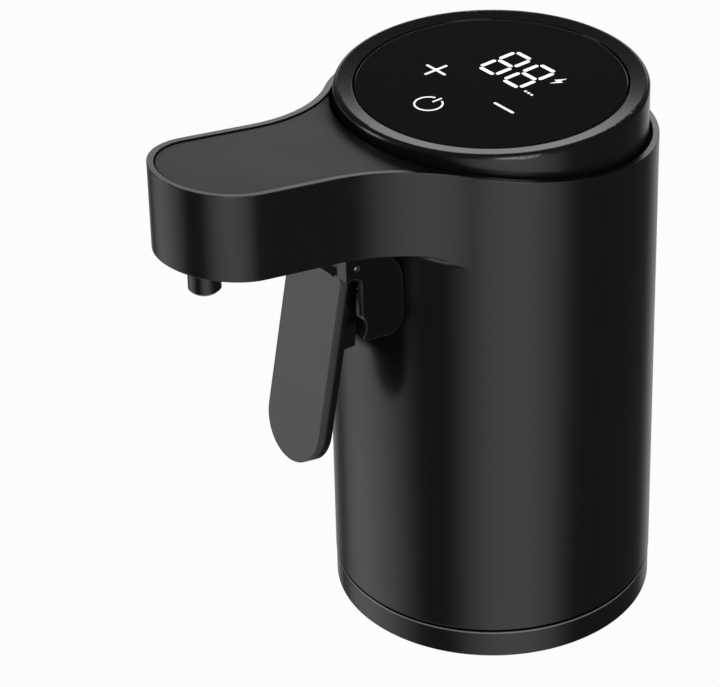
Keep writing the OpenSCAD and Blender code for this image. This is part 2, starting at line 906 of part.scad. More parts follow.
// Closed tube swept along a path of [distance, height] points in an upright plane
module hose(start, heading, path, r, bore_r) {
    last = len(path) - 1;
    ring_size = 2 * hose_sides;
    points = [
        for (i = [0 : last])
            let (
                way = path[min(i + 1, last)] - path[max(i - 1, 0)],
                lean = atan2(way.y, way.x),
                widen = i == 0 || i == last ? 1 : 1 / cos(hose_half_turn(path, i))
            )
            for (size = [r, bore_r])
                for (side = [0 : hose_sides - 1])
                    let (
                        round = 360 * side / hose_sides,
                        out = path[i].x - size * cos(round) * sin(lean) * widen,
                        up = path[i].y + size * cos(round) * cos(lean) * widen,
                        aside = size * sin(round)
                    )
                    [
                        start.x + out * cos(heading) - aside * sin(heading),
                        start.y + out * sin(heading) + aside * cos(heading),
                        up
                    ]
    ];
    walls = [
        for (i = [0 : last - 1])
            for (side = [0 : hose_sides - 1])
                let (
                    a = i * ring_size + side,
                    b = i * ring_size + (side + 1) % hose_sides,
                    c = a + hose_sides,
                    d = b + hose_sides
                )
                for (face = [
                    [a, b + ring_size, b], [a, a + ring_size, b + ring_size],
                    [c, d, d + ring_size], [c, d + ring_size, c + ring_size]
                ])
                    face
    ];
    ends = [
        for (side = [0 : hose_sides - 1])
            let (next = (side + 1) % hose_sides, top = last * ring_size)
            for (face = [
                [side, next, next + hose_sides], [side, next + hose_sides, side + hose_sides],
                [top + side, top + next + hose_sides, top + next],
                [top + side, top + side + hose_sides, top + next + hose_sides]
            ])
                face
    ];
    polyhedron(points, concat(walls, ends));
}

// Half of the angle that a path turns through at one of its points
function hose_half_turn(path, i) =
    let (before = path[i] - path[i - 1], after = path[i + 1] - path[i])
    acos(min(1, before * after / (norm(before) * norm(after)))) / 2;

// Points of an arc from one angle to another
function arc(centre, r, from, to, steps) = [
    for (i = [0 : steps])
        let (turn = from + (to - from) * i / steps)
        centre + r * [cos(turn), sin(turn)]
];

module air_hose() {
    path = concat(
        [[0, pump_top + slip_gap]],
        arc([arch_span / 2, arch_z], arch_span / 2, 180, 0, hose_arc_steps),
        [[arch_span, deck_floor_z + valve_h + slip_gap]]
    );
    color("#d8d9da")
    hose(outlet, arch_turn + 180, path, air_r, air_bore_d / 2);
}

module check_valve() {
    color("#e4e4e0")
    translate([valve_x, valve_y, 0])
        difference() {
            union() {
                translate([0, 0, ceiling_z])
                    cylinder(r = valve_spigot_r, h = cradle_t + ceiling_t + cut);
                translate([0, 0, deck_floor_z])
                    cylinder(r = valve_r, h = valve_h);
                translate([0, 0, deck_floor_z + valve_h - cut])
                    cylinder(r = air_barb_r, h = air_barb_l + cut);
            }
            cylinder(r = air_barb_bore_r, h = far);
        }
}

module inlet_fitting() {
    color("#c9cacc")
    translate([0, -port_out, 0])
        difference() {
            union() {
                translate([0, 0, ceiling_z])
                    cylinder(r = port_spigot_r, h = deck_floor_z - ceiling_z + cut);
                translate([0, 0, deck_floor_z])
                    cylinder(r = port_flange_r, h = port_flange_h);
                translate([0, 0, deck_floor_z])
                    cylinder(r = barb_r, h = port_flange_h + barb_l);
            }
            translate([0, 0, ceiling_z - cut])
                cylinder(r = dip_d / 2, h = dip_depth + cut);
            cylinder(r = barb_bore_r, h = far);
        }
}

module port_seals() {
    color("#7a2f2c")
    translate([0, 0, floor_z - seal_t]) {
        translate([0, -port_out, 0])
            tube_ring(port_spigot_r + close_gap + seal_w, port_spigot_r + close_gap, seal_t);
        translate([valve_x, valve_y, 0])
            tube_ring(valve_spigot_r + close_gap + seal_w, valve_spigot_r + close_gap, seal_t);
    }
}

module wine_hose() {
    path = concat(
        [[port_out, hose_foot_z]],
        arc([port_out + hose_bend_r, bend_z], hose_bend_r, 180, 90 + deck_slope, hose_arc_steps),
        [[bend_end_out, bend_end_z] + hose_end * [cos(deck_slope), sin(deck_slope)]]
    );
    color("#d8d9da")
    hose([0, 0], -90, path, hose_r, hose_bore_d / 2);
}

module nozzle() {
    color("#222326")
    at_nozzle()
        difference() {
            union() {
                translate([0, 0, nozzle_z + nozzle_lip])
                    cylinder(r = nozzle_r, h = elbow_z - nozzle_z - nozzle_lip);
                translate([0, 0, nozzle_z])
                    cylinder(r1 = nozzle_r - nozzle_lip, r2 = nozzle_r, h = nozzle_lip);
                translate([0, 0, elbow_z])
                    sphere(r = elbow_r);
                translate([0, 0, seat_ring_z + nozzle_gasket_t])
                    cylinder(r = seat_ring_r, h = nozzle_flange_t);
                translate([0, 0, elbow_z])
                    rotate([-90 - deck_slope, 0, 0])
                        cylinder(r = barb_r, h = hose_stop + barb_l);
            }
            translate([0, 0, nozzle_z - cut])
                cylinder(d = nozzle_bore_d, h = elbow_z - nozzle_z + cut);
            translate([0, 0, elbow_z])
                rotate([-90 - deck_slope, 0, 0])
                    cylinder(r = barb_bore_r, h = hose_stop + barb_l + cut);
        }
}

module nozzle_gasket() {
    color("#7a2f2c")
    at_nozzle()
        translate([0, 0, seat_ring_z])
            tube_ring(seat_ring_r - slip_gap, nozzle_hole_r, nozzle_gasket_t);
}

// Front view of the neck, grown sideways and upwards
module neck_outline(aside, above) {
    translate([0, neck_mid])
        round_rect(neck_w + 2 * aside, neck_h + 2 * above, neck_corner);
}

// Side view of the bracket's cheeks: round behind, notched in front, sloped under the arm
module cheek_outline() {
    difference() {
        union() {
            translate([heel_turn, heel_turn_z])
                circle(heel_round);
            translate([cheek_turn, cheek_turn_z])
                circle(cheek_round);
            polygon([
                [
                    heel_turn + heel_round * sin(deck_slope),
                    heel_turn_z - heel_round * cos(deck_slope)
                ],
                [cheek_front, bracket_z + slope_k * (cheek_front - web_front)],
                [cheek_front, under_z + slope_k * cheek_front - cheek_gap],
                [
                    cheek_turn - cheek_round * sin(deck_slope),
                    cheek_turn_z + cheek_round * cos(deck_slope)
                ],
                [cheek_turn, cheek_turn_z], [cheek_rear, cheek_turn_z],
                [cheek_rear, heel_turn_z], [heel_turn, heel_turn_z]
            ]);
        }
        translate([notch_out + notch_r, notch_top - notch_r])
            circle(notch_r);
        translate([notch_out, -cut])
            square([far, notch_top - notch_r + cut]);
        translate([notch_out + notch_r, -cut])
            square([far, notch_top + cut]);
        translate([notch_out - scoop_dip + scoop_r, bracket_z + scoop_up])
            circle(scoop_r);
        translate([cheek_front, 0])
            square([far, far]);
    }
}

module trigger_bracket() {
    color("#1d1e20")
    difference() {
        union() {
            difference() {
                sideways(bracket_w)
                    cheek_outline();
                cylinder(r = body_r + slip_gap, h = far);
            }
            outwards(flange_out, web_front - web_t / 2)
                neck_outline(0, 0);
            intersection() {
                outwards(flange_out, body_r)
                    neck_outline(0, flange_grow);
                cylinder(r = chamber_r - close_gap, h = far);
            }
        }
        // Slot for the trigger between the lugs, wider below them
        sideways(slot_w)
            translate([web_front, 0])
                square([far, far]);
        sideways(bracket_w - 2 * cheek_skin)
            translate([web_front, 0])
                square([far, notch_top]);
        // Bay for the micro switch, guide for the plunger and seat for the spring
        outwards(flange_out - cut, web_rear)
            translate([0, neck_mid])
                square([neck_w - 2 * neck_wall, neck_h - 2 * neck_wall], center = true);
        outwards(web_rear - cut, web_front + cut)
            translate([0, push_z])
                circle(plunger_r + close_gap);
        outwards(web_front - spring_pocket, web_front + cut)
            translate([0, push_z])
                circle(spring_pocket_r);
        pivot_bore(close_gap / 2, far);
    }
}

// Stepped bore of the pivot: wide between the cheeks' outer skins, narrow through them
module pivot_bore(grow, tip_l) {
    translate([0, pivot_y, pivot_z]) {
        sideways(bracket_w - 2 * pin_skin + 2 * grow)
            circle(pin_r + grow);
        sideways(tip_l)
            circle(pin_tip_d / 2 + grow);
    }
}

module pivot_pin() {
    color("#c8cacd")
    pivot_bore(0, bracket_w - 2 * slip_gap);
}

// Upright frame of the trigger, tilted into its rest position
module at_trigger() {
    translate([0, pivot_y, pivot_z])
        rotate([-trigger_tilt, 0, 0])
            children();
}

// Front view of the trigger: square shoulders with round corners, round lower end
module trigger_outline() {
    low = half_trigger - trigger_len;
    corner = shoulder_drop + face_top;
    inner = half_trigger - corner;
    translate([0, low])
        circle(half_trigger);
    for (side = [-1, 1])
        translate([side * inner, -shoulder_drop])
            circle(corner);
    polygon([
        [-half_trigger, low], [half_trigger, low],
        [half_trigger, -shoulder_drop], [inner, -shoulder_drop],
        [inner, face_top], [-inner, face_top],
        [-inner, -shoulder_drop], [-half_trigger, -shoulder_drop]
    ]);
}

module trigger_lever() {
    color("#19191b")
    difference() {
        union() {
            at_trigger() {
                outwards(lever_back, face_back) {
                    trigger_outline();
                    translate([-hub_w / 2, -shoulder_drop])
                        square([hub_w, shoulder_drop]);
                }
                sideways(hub_w)
                    circle(hub_r);
            }
            difference() {
                sideways(pusher_w)
                    polygon([
                        [pusher_out, pusher_top], [pusher_out, pusher_seat],
                        [pusher_out + pusher_slant, pusher_top - pusher_h],
                        [-pivot_y + cut, pusher_top - pusher_h], [-pivot_y + cut, pusher_top]
                    ]);
                at_trigger()
                    outwards(face_back, far)
                        square(far, center = true);
            }
        }
        at_trigger()
            sideways(far)
                circle(pin_r + close_gap);
    }
}

module trigger_face() {
    color("#5a5b5e")
    at_trigger()
        outwards(face_back, face_front)
            difference() {
                trigger_outline();
                translate([-face_notch_w / 2, face_top - face_notch])
                    square([face_notch_w, far]);
            }
}

// Coil wound round the plunger, as one closed tube of rings
spring_steps = 18;
spring_rings = spring_steps * spring_turns;
spring_sides = 8;
spring_run = spring_end - spring_start - spring_wire;
spring_pitch = spring_run / spring_turns;

function spring_point(ring, side) =
    let (
        turn = 360 * spring_turns * ring / spring_rings,
        round = 360 * side / spring_sides,
        r = spring_d / 2 + spring_wire / 2 * cos(round),
        out = spring_start + spring_wire / 2 + spring_run * ring / spring_rings
            + spring_wire / 2 * sin(round)
    ) [r * cos(turn), -out, push_z + r * sin(turn)];

spring_gap = spring_pitch - spring_wire;
echo(least_gap_between_spring_turns = spring_gap);

module return_spring() {
    points = [
        for (ring = [0 : spring_rings])
            for (side = [0 : spring_sides - 1])
                spring_point(ring, side)
    ];
    last = spring_rings * spring_sides;
    walls = [
        for (ring = [0 : spring_rings - 1])
            for (side = [0 : spring_sides - 1])
                let (
                    a = ring * spring_sides + side,
                    b = ring * spring_sides + (side + 1) % spring_sides
                )
                for (face = [[a, b, b + spring_sides], [a, b + spring_sides, a + spring_sides]])
                    face
    ];
    start_cap = [for (i = [1 : spring_sides - 2]) [0, i + 1, i]];
    end_cap = [for (i = [1 : spring_sides - 2]) [last, last + i, last + i + 1]];
    color("#c8cacd")
    polyhedron(points, concat(walls, start_cap, end_cap));
}

module switch_plunger() {
    length = plunger_tip - plunger_tail;
    color("#d9d4c4")
    translate([0, -plunger_tail, push_z])
        rotate([90, 0, 0])
            rotate_extrude() {
                square([plunger_r, length - plunger_r]);
                intersection() {
                    square([plunger_r, length]);
                    translate([0, length - plunger_dome_r])
                        circle(plunger_dome_r);
                }
            }
}

module micro_switch() {
    color("#2b2c30")
    difference() {
        union() {
            outwards(switch_front - switch_back, switch_front)
                translate([0, neck_mid])
                    square([switch_w, switch_h], center = true);
            for (i = [-1 : 1])
                translate([
                    i * prong_pitch - prong_size.x / 2,
                    prong_back - switch_front,
                    neck_mid - switch_h / 2 - prong_size.z
                ])
                    cube([prong_size.x, prong_size.y, prong_size.z + cut]);
        }
        outwards(plunger_tail - plunger_travel - free_gap, far)
            translate([0, push_z])
                circle(plunger_r + close_gap);
    }
}

module base_cup() {
    color("#232427")
    difference() {
        union() {
            rotate_extrude()
                polygon([
                    [0, 0], [base_r - base_chamfer, 0], [base_r, base_chamfer],
                    [base_r, base_h - base_edge], [base_r - base_edge, base_h], [0, base_h]
                ]);
            cylinder(r = cup_r, h = floor_z);
        }
        translate([0, 0, -cut])
            cylinder(r = cup_bore_r, h = ceiling_z + cut);
        around_screws()
            translate([boss_at, 0, 0]) {
                cylinder(d = screw_d + 2 * slip_gap, h = far);
                cylinder(d = screw_head_d + 2 * slip_gap, h = ceiling_z + screw_head_h + slip_gap);
            }
        translate([0, -port_out, 0]) {
            cylinder(r = port_spigot_r + close_gap, h = far);
            translate([0, 0, floor_z - seal_t])
                cylinder(r = port_spigot_r + seal_w + 2 * close_gap, h = far);
        }
        translate([valve_x, valve_y, 0]) {
            cylinder(r = valve_spigot_r + close_gap, h = far);
            translate([0, 0, floor_z - seal_t])
                cylinder(r = valve_spigot_r + seal_w + 2 * close_gap, h = far);
        }
    }
}

module grip_liner() {
    color("#4b4c50")
    tube_ring(liner_r, bottle_r, socket_depth);
}

module lip_gasket() {
    color("#4b4c50")
    translate([0, 0, gasket_z])
        tube_ring(liner_r, gasket_bore_d / 2, gasket_t);
}

module base_screws() {
    color("#a9abae")
    around_screws()
        translate([boss_at, 0, ceiling_z]) {
            cylinder(d = screw_head_d, h = screw_head_h);
            cylinder(d = screw_d, h = ceiling_t + screw_grip);
        }
}

main_housing();
arm_cover();
display_bezel();
display_glass();
display_spacer();
display_board();
digit_module();
touch_pads();
display_ribbon();
control_board();
board_chips();
board_screws();
charge_port();
battery_cell();
cell_cradle();
pump_motor();
motor_shaft();
pump_crankcase();
pump_diaphragm();
valve_cover();
air_hose();
check_valve();
inlet_fitting();
port_seals();
wine_hose();
nozzle();
nozzle_gasket();
trigger_bracket();
pivot_pin();
trigger_lever();
trigger_face();
return_spring();
switch_plunger();
micro_switch();
base_cup();
grip_liner();
lip_gasket();
base_screws();
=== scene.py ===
import math

import bmesh
import bpy
from mathutils import Matrix, Vector


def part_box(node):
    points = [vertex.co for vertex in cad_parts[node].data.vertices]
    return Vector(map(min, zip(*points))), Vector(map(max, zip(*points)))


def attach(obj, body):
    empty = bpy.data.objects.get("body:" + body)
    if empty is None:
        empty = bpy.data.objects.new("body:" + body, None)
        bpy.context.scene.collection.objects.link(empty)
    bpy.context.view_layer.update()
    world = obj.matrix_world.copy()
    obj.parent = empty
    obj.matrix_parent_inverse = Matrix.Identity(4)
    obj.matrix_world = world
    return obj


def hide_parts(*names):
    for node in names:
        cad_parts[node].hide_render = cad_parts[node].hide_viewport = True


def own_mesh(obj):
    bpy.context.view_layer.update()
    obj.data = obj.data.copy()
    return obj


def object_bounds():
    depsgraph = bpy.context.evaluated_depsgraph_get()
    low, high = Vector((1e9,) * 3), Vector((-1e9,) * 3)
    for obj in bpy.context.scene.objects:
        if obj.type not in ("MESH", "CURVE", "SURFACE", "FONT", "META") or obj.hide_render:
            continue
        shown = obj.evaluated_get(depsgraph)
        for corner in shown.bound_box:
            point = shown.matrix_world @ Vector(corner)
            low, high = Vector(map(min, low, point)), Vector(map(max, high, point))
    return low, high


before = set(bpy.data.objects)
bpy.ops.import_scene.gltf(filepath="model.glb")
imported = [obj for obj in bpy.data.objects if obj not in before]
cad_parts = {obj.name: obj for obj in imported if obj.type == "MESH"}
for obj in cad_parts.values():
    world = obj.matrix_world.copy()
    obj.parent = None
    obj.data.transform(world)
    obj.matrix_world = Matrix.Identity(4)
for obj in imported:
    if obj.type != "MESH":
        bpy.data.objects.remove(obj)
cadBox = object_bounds()
mm = 0.001
print("frame loaded:", len(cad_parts), "nodes")

# the photograph's view, fitted to the body's ellipses and the arm's edges (mm and degrees)
photoView = {
    "target": (-8.52, -11.93, 30.47),
    "azimuth": 54.4545,
    "elevation": 32.1,
    "roll": -1.501,
    "distance": 380.52,
    "lens": 170.905,
    "sensor": 36,
    "nearest": 10,
}


def directionAt(azimuth, elevation):  # azimuth 0 is -Y and 90 is +X
    turn, lift = math.radians(azimuth), math.radians(elevation)
    level = math.cos(lift)
    return Vector((math.sin(turn) * level, -math.cos(turn) * level, math.sin(lift)))


def addCamera(view):
    back = directionAt(view["azimuth"], view["elevation"])
    right = directionAt(view["azimuth"] + 90, 0)
    aim = Matrix((right, back.cross(right), back)).transposed()
    aim = aim @ Matrix.Rotation(math.radians(view["roll"]), 3, "Z")
    camera = bpy.data.objects.new("camera", bpy.data.cameras.new("camera"))
    camera.data.lens = view["lens"]
    camera.data.sensor_width = view["sensor"]
    camera.data.clip_start = view["nearest"] * mm
    place = (Vector(view["target"]) + back * view["distance"]) * mm
    camera.matrix_world = Matrix.Translation(place) @ aim.to_4x4()
    bpy.context.collection.objects.link(camera)
    bpy.context.scene.camera = camera


addCamera(photoView)
print("camera set")


class Wire:  # one socket of a node tree, so that shader maths reads as Python
    def __init__(self, tree, socket=None):
        self.tree = tree
        self.socket = socket

    def make(self, kind, settings=None, inputs=None, out=0):
        node = self.tree.nodes.new(kind)
        for key, value in (settings or {}).items():
            setattr(node, key, value)
        for key, value in (inputs or {}).items():
            if isinstance(value, Wire):
                self.tree.links.new(value.socket, node.inputs[key])
            else:
                node.inputs[key].default_value = value
        return Wire(self.tree, node.outputs[out] if node.outputs else None)

    def maths(self, operation, first, second=0.0, clamp=False):
        settings = {"operation": operation, "use_clamp": clamp}
        return self.make("ShaderNodeMath", settings, {0: first, 1: second})

    def blend(self, first, second):  # self is the share of the second colour
        return self.make("ShaderNodeMix", {"data_type": "RGBA"}, {0: self, 6: first, 7: second}, 2)

    def __add__(self, other):
        return self.maths("ADD", self, other)

    def __radd__(self, other):
        return self.maths("ADD", other, self)

    def __sub__(self, other):
        return self.maths("SUBTRACT", self, other)

    def __rsub__(self, other):
        return self.maths("SUBTRACT", other, self)

    def __mul__(self, other):
        return self.maths("MULTIPLY", self, other)

    def __rmul__(self, other):
        return self.maths("MULTIPLY", other, self)


def rgb(tone, tint=(1.0, 1.0, 1.0)):
    return (tone * tint[0], tone * tint[1], tone * tint[2], 1.0)


def newMaterial(name, build):
    material = bpy.data.materials.new(name)
    material.use_nodes = True
    tree = material.node_tree
    tree.nodes.clear()
    surface = build(Wire(tree))
    surface.make("ShaderNodeOutputMaterial", None, {"Surface": surface})
    return material


def principled(start, sockets):
    return start.make("ShaderNodeBsdfPrincipled", None, sockets)


def mixedShader(share, first, second):  # share is the part of the second shader
    return share.make("ShaderNodeMixShader", None, {0: share, 1: first, 2: second})


def vectorMaths(operation, first, second=(0.0, 0.0, 0.0), out="Vector"):
    return first.make("ShaderNodeVectorMath", {"operation": operation}, {0: first, 1: second}, out)


def placeOf(start):
    return start.make("ShaderNodeTexCoord", out="Object")


def heightOf(where):
    return where.make("ShaderNodeSeparateXYZ", None, {"Vector": where}, "Z")


def noise(where, size, detail=2.0):  # size is the width of one fleck, in mm
    return where.make("ShaderNodeTexNoise", None, {"Vector": where, "Scale": 1000 / size, "Detail": detail})


def weighed(first, second, share):  # share is the part of the first
    return first * share + second * (1 - share)


def mottled(share, tone, shades, tint=(1.0, 1.0, 1.0)):
    return share.blend(rgb(tone * shades[0], tint), rgb(tone * shades[1], tint))


def bumped(height, depth, under=None):  # depth in mm
    sockets = {"Strength": 1.0, "Distance": depth * mm, "Height": height}
    if under:
        sockets["Normal"] = under
    return height.make("ShaderNodeBump", None, sockets)


def ramp(value, start, end, kind="SMOOTHSTEP"):  # from 0 at start to 1 at end
    return value.make("ShaderNodeMapRange", {"interpolation_type": kind}, {
        "Value": value, "From Min": start, "From Max": end})


def band(height, ends):  # 1 between two heights, each with a soft start and end, in mm
    low, high = [ramp(height, first * mm, last * mm) for first, last in ends]
    return low - high


edgeLook = {"samples": 4, "gain": 3.0}


def edgeOf(start, width):  # rounded normal, and how far it turns from the flat one
    rounded = start.make("ShaderNodeBevel", {"samples": edgeLook["samples"]}, {"Radius": width * mm})
    flat = start.make("ShaderNodeNewGeometry", out="Normal")
    match = vectorMaths("DOT_PRODUCT", rounded, flat, "Value")
    return rounded, start.maths("MULTIPLY", 1 - match, edgeLook["gain"], True)


# moulded plastics: spark-eroded grain, uneven sheen, edges rubbed smooth and painted lighter as a highlight; on
# some, painted shade by the next wall and a painted highlight line
mouldings = {
    # housing: painted shade on the wall by the bracket and trigger, between two heights
    "housing_black": {"tone": 0.0050, "rough": 0.24, "grain": 0.16, "depth": 0.003, "edge": 0.17,
                      "corner": 8.0, "cornerShade": 2.4, "cornerBand": ((36.4, 38.2), (44.5, 46.5))},
    "nozzle_black": {"tone": 0.0050, "rough": 0.24, "grain": 0.16, "depth": 0.003, "edge": 0.17},
    # base: a painted highlight line round its upper edge
    "base_black": {"tone": 0.0050, "rough": 0.24, "grain": 0.16, "depth": 0.003, "edge": 0.03,
                   "paintedHighlightBand": ((3.16, 3.18), (3.34, 3.36)), "paintedHighlightTone": 0.22},
    # bracket: edges painted pale as a highlight
    "bracket_black": {"tone": 0.0022, "rough": 0.2, "grain": 0.16, "depth": 0.002, "edge": 0.16,
                      "paintedEdgeTone": 38.0},
    # cover: painted shade on the cover by the bezel
    "cover_black": {"tone": 0.0075, "rough": 0.45, "grain": 0.14, "depth": 0.003, "edge": 0.16,
                    "corner": 6.0, "cornerShade": 1.8},
    "bezel_black": {"tone": 0.0050, "rough": 0.22, "grain": 0.14, "depth": 0.002, "edge": 0.22},
    "lever_black": {"tone": 0.0025, "rough": 0.24, "grain": 0.16, "depth": 0.002, "edge": 0.2},
    # trigger: edges painted darker as shade
    "trigger_grey": {"tone": 0.055, "rough": 0.34, "grain": 0.14, "depth": 0.003, "edge": 0.35,
                     "paintedEdgeTone": 0.3},
    "pump_black": {"tone": 0.014, "rough": 0.55, "grain": 0.22, "depth": 0.008, "edge": 0.15},
    "chip_black": {"tone": 0.012, "rough": 0.6, "grain": 0.1, "depth": 0.003, "edge": 0.06},
    "frame_grey": {"tone": 0.16, "rough": 0.5, "grain": 0.2, "depth": 0.006, "edge": 0.15},
    "valve_white": {"tone": 0.62, "rough": 0.42, "grain": 0.25, "depth": 0.004, "edge": 0.12},
    "plunger_cream": {"tone": 0.55, "rough": 0.4, "grain": 0.2, "depth": 0.003, "edge": 0.1,
                      "tint": (1.0, 0.92, 0.74)},
}
# what they share; the edge tone, a painted highlight along edges (painted shade where under 1), is a multiple of
# the tone
plasticSheen = {
    "specular": 0.6,
    "cloud": 7.0,
    "cloudRough": 0.06,
    "grainShare": 0.6,
    "shades": (0.8, 1.2),
    "tint": (1.0, 1.0, 1.03),
    "rub": 0.10,
    "paintedEdgeTone": 1.6,
    "cornerSamples": 8,
}


def plasticColour(look, where, grain, cloud, edge, tint):
    # edges painted in the edge tone: lighter as a highlight, darker as shade where it is under 1
    paintedEdgeTone = look["tone"] * look.get("paintedEdgeTone", plasticSheen["paintedEdgeTone"])
    flecks = weighed(grain, cloud, plasticSheen["grainShare"])
    colour = edge.blend(mottled(flecks, look["tone"], plasticSheen["shades"], tint), rgb(paintedEdgeTone, tint))
    if "paintedHighlightBand" in look:  # painted highlight: a bright line where the upper edge is cut back
        colour = band(heightOf(where), look["paintedHighlightBand"]).blend(colour, rgb(look["paintedHighlightTone"], tint))
    return colour


def paintedCornerShade(look, where, plastic, tint):  # painted shade: the plastic fades to a matt dark diffuse by the next wall, within corner mm
    openness = where.make("ShaderNodeAmbientOcclusion", {"samples": plasticSheen["cornerSamples"]},
                      {"Distance": look["corner"] * mm}, "AO")
    shadeShare = where.maths("MULTIPLY", 1 - openness, look["cornerShade"], True)
    if "cornerBand" in look:
        shadeShare = shadeShare * band(heightOf(where), look["cornerBand"])
    paintedShade = where.make("ShaderNodeBsdfDiffuse", None, {"Color": rgb(look["tone"], tint)})
    return mixedShader(shadeShare, plastic, paintedShade)


def moulded(look):
    def build(start):
        where = placeOf(start)
        cloud = noise(where, plasticSheen["cloud"], 3.0)
        grain = noise(where, look["grain"])
        rounded, edge = edgeOf(start, look["edge"])
        tint = look.get("tint", plasticSheen["tint"])
        uneven = look["rough"] + (cloud - 0.5) * plasticSheen["cloudRough"]
        plastic = principled(start, {
            "Base Color": plasticColour(look, where, grain, cloud, edge, tint),
            "Roughness": uneven - edge * plasticSheen["rub"],
            "Specular IOR Level": plasticSheen["specular"],
            "Normal": bumped(grain, look["depth"], rounded),
        })
        return paintedCornerShade(look, where, plastic, tint) if "corner" in look else plastic
    return build


# touch glass over the display: gloss black, with the faint bloom that fingers leave
glassLook = {"tone": 0.0025, "shades": (0.8, 1.2), "rough": 0.04, "bloom": 0.04, "bloomSize": 4.0,
             "specular": 0.45, "edge": 0.12, "edgeRough": 0.1}


def touchGlass(start):
    bloom = noise(placeOf(start), glassLook["bloomSize"], 4.0)
    rounded, edge = edgeOf(start, glassLook["edge"])
    return principled(start, {
        "Base Color": mottled(bloom, glassLook["tone"], glassLook["shades"]),
        "Roughness": glassLook["rough"] + bloom * glassLook["bloom"] + edge * glassLook["edgeRough"],
        "Specular IOR Level": glassLook["specular"],
        "Normal": rounded,
    })


# bare steel: fine drawn lines and a dulled skin; the spring is oil-black, the pin's ends are domed
steels = {
    "steel": {"tone": 0.56, "rough": 0.3, "depth": 0.002, "edge": 0.08},
    "spring_steel": {"tone": 0.07, "rough": 0.34, "depth": 0.001, "edge": 0.05},
    "pin_steel": {"tone": 0.72, "rough": 0.24, "depth": 0.001, "edge": 0.5},
}
steelSkin = {"lineWidth": 0.08, "stretch": 14.0, "dull": 3.0, "dullShare": 0.6, "shades": (0.85, 1.1),
             "lineRough": 0.2, "rub": 0.08}


def drawnSteel(look):
    def build(start):
        where = placeOf(start)
        drawn = vectorMaths("MULTIPLY", where, (1.0, 1.0, 1.0 / steelSkin["stretch"]))
        lines = noise(drawn, steelSkin["lineWidth"], 3.0)
        dull = noise(where, steelSkin["dull"], 3.0)
        rounded, edge = edgeOf(start, look["edge"])
        uneven = look["rough"] + (lines - 0.5) * steelSkin["lineRough"]
        return principled(start, {
            "Base Color": mottled(weighed(dull, lines, steelSkin["dullShare"]), look["tone"], steelSkin["shades"]),
            "Metallic": 1.0,
            "Roughness": uneven - edge * steelSkin["rub"],
            "Normal": bumped(lines, look["depth"], rounded),
        })
    return build


# circuit boards: green mask over a lattice of copper tracks
boardLook = {"mask": (0.012, 0.09, 0.035, 1.0), "track": (0.03, 0.17, 0.06, 1.0), "pitch": 0.9,
             "jitter": 0.55, "trackFrom": 0.42, "trackShare": 0.7, "rough": 0.28, "weave": 0.35,
             "weaveRough": 0.16, "depth": 0.03, "edge": 0.06}


def circuitBoard(start):
    where = placeOf(start)
    cells = start.make("ShaderNodeTexVoronoi", {"distance": "CHEBYCHEV", "feature": "F1"}, {
        "Vector": where, "Scale": 1000 / boardLook["pitch"], "Randomness": boardLook["jitter"]})
    track = start.maths("GREATER_THAN", cells, boardLook["trackFrom"])
    weave = noise(where, boardLook["weave"])
    rounded, edge = edgeOf(start, boardLook["edge"])
    return principled(start, {
        "Base Color": weighed(track, edge, boardLook["trackShare"]).blend(boardLook["mask"], boardLook["track"]),
        "Roughness": boardLook["rough"] + weave * boardLook["weaveRough"],
        "Normal": bumped(track, boardLook["depth"], rounded),
    })


# soft rubbers: cloudy colour, matt skin with faint flow marks
rubbers = {
    "silicone": {"low": (0.33, 0.34, 0.35, 1.0), "high": (0.46, 0.47, 0.48, 1.0), "rough": 0.56, "fleck": 0.5},
    "seal_red": {"low": (0.30, 0.035, 0.02, 1.0), "high": (0.42, 0.06, 0.035, 1.0), "rough": 0.5, "fleck": 0.4},
}
rubberSkin = {"cloud": 2.6, "cloudShare": 0.8, "skinRough": 0.18, "scatter": 0.15, "scatterDepth": 1.0,
              "depth": 0.01, "edge": 0.15}


def rubber(look):
    def build(start):
        where = placeOf(start)
        cloud = noise(where, rubberSkin["cloud"], 3.0)
        skin = noise(where, look["fleck"])
        rounded, edge = edgeOf(start, rubberSkin["edge"])
        return principled(start, {
            "Base Color": weighed(cloud, edge, rubberSkin["cloudShare"]).blend(look["low"], look["high"]),
            "Roughness": look["rough"] + (skin - 0.5) * rubberSkin["skinRough"],
            "Subsurface Weight": rubberSkin["scatter"],
            "Subsurface Radius": [rubberSkin["scatterDepth"] * mm] * 3,
            "Normal": bumped(skin, rubberSkin["depth"], rounded),
        })
    return build


# open-cell foam under the glass and the touch pads
foamLook = {"low": 0.05, "high": 0.13, "cell": 0.28, "rough": 0.95, "wallSmooth": 0.15, "depth": 0.09}


def openFoam(start):
    cells = start.make("ShaderNodeTexVoronoi", None, {
        "Vector": placeOf(start), "Scale": 1000 / foamLook["cell"]})
    return principled(start, {
        "Base Color": cells.blend(rgb(foamLook["low"]), rgb(foamLook["high"])),
        "Roughness": foamLook["rough"] - cells * foamLook["wallSmooth"],
        "Normal": bumped(cells, foamLook["depth"]),
    })


# flat cable: amber film with rolled copper lines showing through; waveScale gives lines 1 mm apart
ribbonLook = {"film": (0.42, 0.17, 0.03, 1.0), "copper": (0.25, 0.09, 0.03, 1.0), "pitch": 0.5,
              "waveScale": 314, "copperFrom": 0.55, "rough": 0.22, "cloud": 1.5, "cloudRough": 0.2,
              "depth": 0.02}


